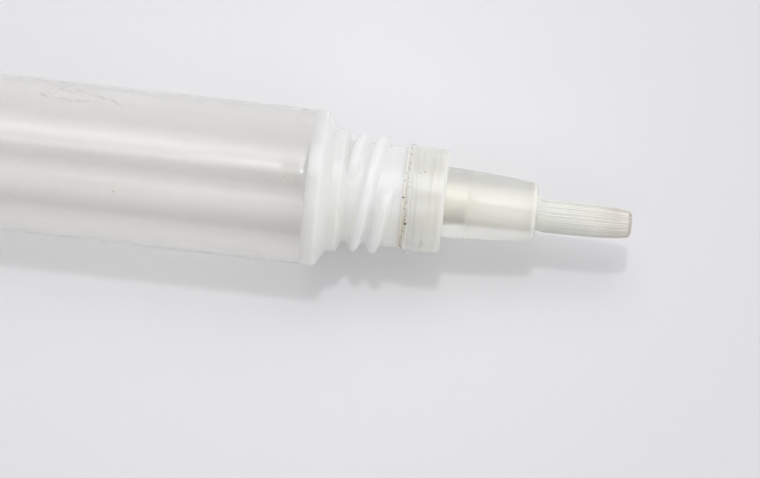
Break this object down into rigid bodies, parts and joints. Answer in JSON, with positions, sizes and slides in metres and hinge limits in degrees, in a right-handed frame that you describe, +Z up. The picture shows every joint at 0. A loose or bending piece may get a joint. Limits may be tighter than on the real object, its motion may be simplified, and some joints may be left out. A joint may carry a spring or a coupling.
{
  "type": "cosmetic tube",
  "caption": "Soft translucent squeeze tube with a threaded head, a push-in brush applicator and a flat sealed tail, lying on its side.",
  "frame": {"origin": "on the surface that the tube lies on, under the middle of its whole length and width", "axes": "+X along the tube's axis, from the sealed tail to the brush; +Z up, square to the flat seal"},
  "size_m": [0.1172, 0.0246, 0.016],
  "materials": {
    "sleeve": "translucent natural polyethylene, satin",
    "head": "milky translucent polyethylene, satin",
    "holder": "natural translucent polypropylene, slightly yellow, glossy",
    "root": "melted nylon",
    "bristles": "fine nylon filaments"
  },
  "bodies": {
    "tube": {"tube_sleeve": "sleeve", "tube_head": "head"},
    "applicator": {"brush_holder": "holder", "tuft_root": "root", "bristle_tuft": "bristles"}
  },
  "joints": [
    {"name": "applicator_pull", "type": "slide", "parent": "tube", "child": "applicator", "axis": [1, 0, 0], "range_m": [0, 0.006]}
  ]
}
